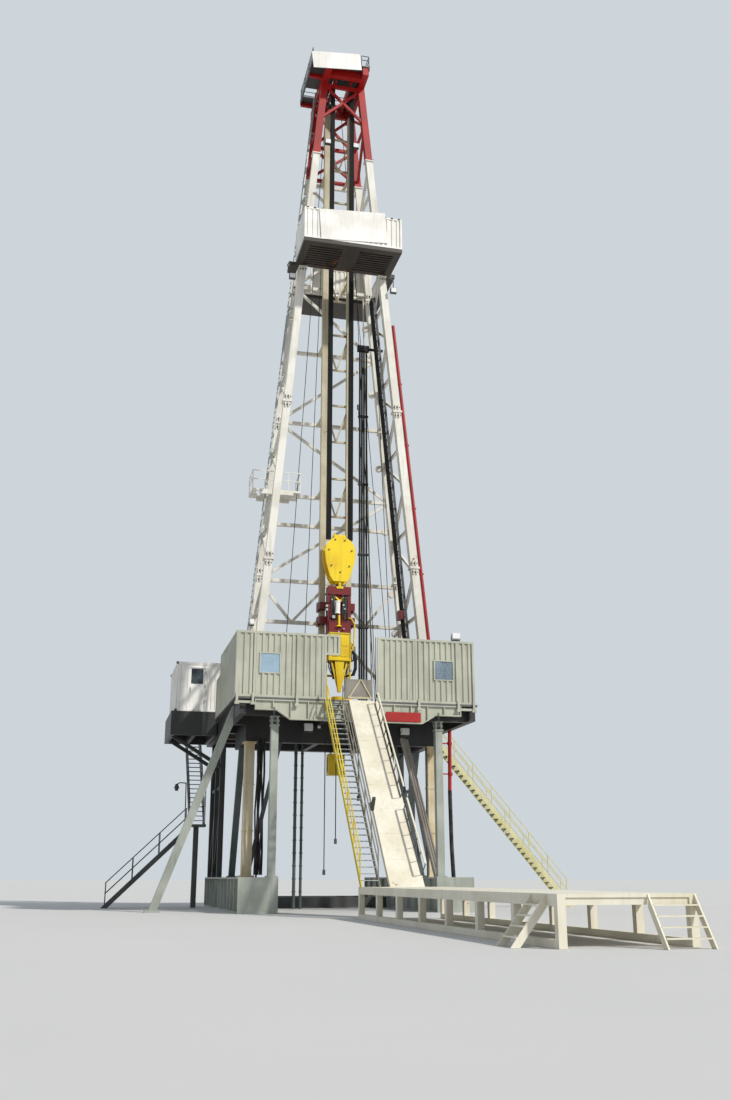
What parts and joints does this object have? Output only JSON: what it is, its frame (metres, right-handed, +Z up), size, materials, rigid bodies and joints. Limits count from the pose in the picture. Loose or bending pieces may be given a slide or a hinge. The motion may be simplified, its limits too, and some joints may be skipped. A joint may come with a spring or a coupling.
{
  "type": "land drilling rig, 1:2 scale model",
  "caption": "Land drilling rig at half size: four-leg mast on a raised floor with wind walls, pipe ramp, catwalk, stairs and a hoist that slides in the mast.",
  "frame": {"origin": "middle of the footprint on the ground", "axes": "+X right seen from the pipe ramp, +Y away from the ramp, +Z up"},
  "size_m": [12.175, 21.65, 24.105],
  "materials": {
    "substructure_paint": "weathered light grey paint",
    "column_paint": "beige paint with rust",
    "dark_steel": "dark grey paint, dirty",
    "wall_paint": "pale grey-green paint",
    "glass_dark": "dark window sheet",
    "white_paint": "white paint",
    "rail_yellow": "yellow handrail paint",
    "ramp_cream": "cream paint with rust",
    "mast_cream": "weathered cream white paint",
    "rail_beige": "beige paint",
    "crown_red": "red paint",
    "drive_red": "dark red paint",
    "hoist_yellow": "yellow paint",
    "rope_black": "greased wire rope"
  },
  "bodies": {
    "rig": {"base_boxes": "substructure_paint", "base_spreaders": "dark_steel", "front_legs": "substructure_paint", "main_columns": "column_paint", "raking_legs": "substructure_paint", "inner_braces": "substructure_paint", "rear_posts": "dark_steel", "cellar_trolley": "hoist_yellow", "wind_strut": "substructure_paint", "floor_frame": "dark_steel", "front_girder": "wall_paint", "floor_deck": "dark_steel", "rotary_table": "drive_red", "windwall_front_left": "wall_paint", "windwall_front_right": "wall_paint", "windwall_sides": "wall_paint", "window_panes": "glass_dark", "v_door_gate": "ramp_cream", "floor_handrails": "rail_yellow", "doghouse_platform": "dark_steel", "doghouse_walls": "white_paint", "doghouse_front": "white_paint", "doghouse_roof": "white_paint", "left_stair_sides": "dark_steel", "left_stair_treads": "dark_steel", "left_stair_landings": "dark_steel", "right_stair_sides": "rail_yellow", "right_stair_treads": "dark_steel", "ramp_stair_sides": "rail_yellow", "ramp_stair_treads": "dark_steel", "pipe_ramp": "ramp_cream", "pipe_ramp_rail": "rail_yellow", "catwalk_deck": "ramp_cream", "catwalk_sides": "ramp_cream", "catwalk_stairs": "ramp_cream", "mast_leg_front_left": "mast_cream", "mast_leg_front_right": "mast_cream", "mast_leg_rear_left": "mast_cream", "mast_leg_rear_right": "mast_cream", "mast_rear_bracing": "mast_cream", "mast_left_bracing": "mast_cream", "mast_right_bracing": "mast_cream", "mast_top_section": "crown_red", "crown_frame": "crown_red", "crown_platform": "white_paint", "crown_sheaves": "dark_steel", "guide_rails": "rail_beige", "rail_brackets": "rail_beige", "fingerboard": "dark_steel", "monkey_walkway": "dark_steel", "monkey_walls": "white_paint", "side_platform": "mast_cream", "mast_ladder": "dark_steel", "standpipe": "crown_red", "hose_bundle": "rope_black", "drilling_lines": "rope_black"},
    "hoist": {"travelling_block": "hoist_yellow", "top_drive": "drive_red", "pipe_handler": "hoist_yellow"},
    "links": {"elevator_links": "hoist_yellow"}
  },
  "joints": [
    {"name": "block_hoist", "type": "slide", "parent": "rig", "child": "hoist", "axis": [0, 0, 1], "range_m": [0, 12.4], "deforming": ["drilling_lines"]},
    {"name": "link_tilt", "type": "hinge", "parent": "hoist", "child": "links", "pos_m": [-0.6625, 4.675, 6.4], "axis": [1, 0, 0], "range_deg": [-30, 0]}
  ]
}
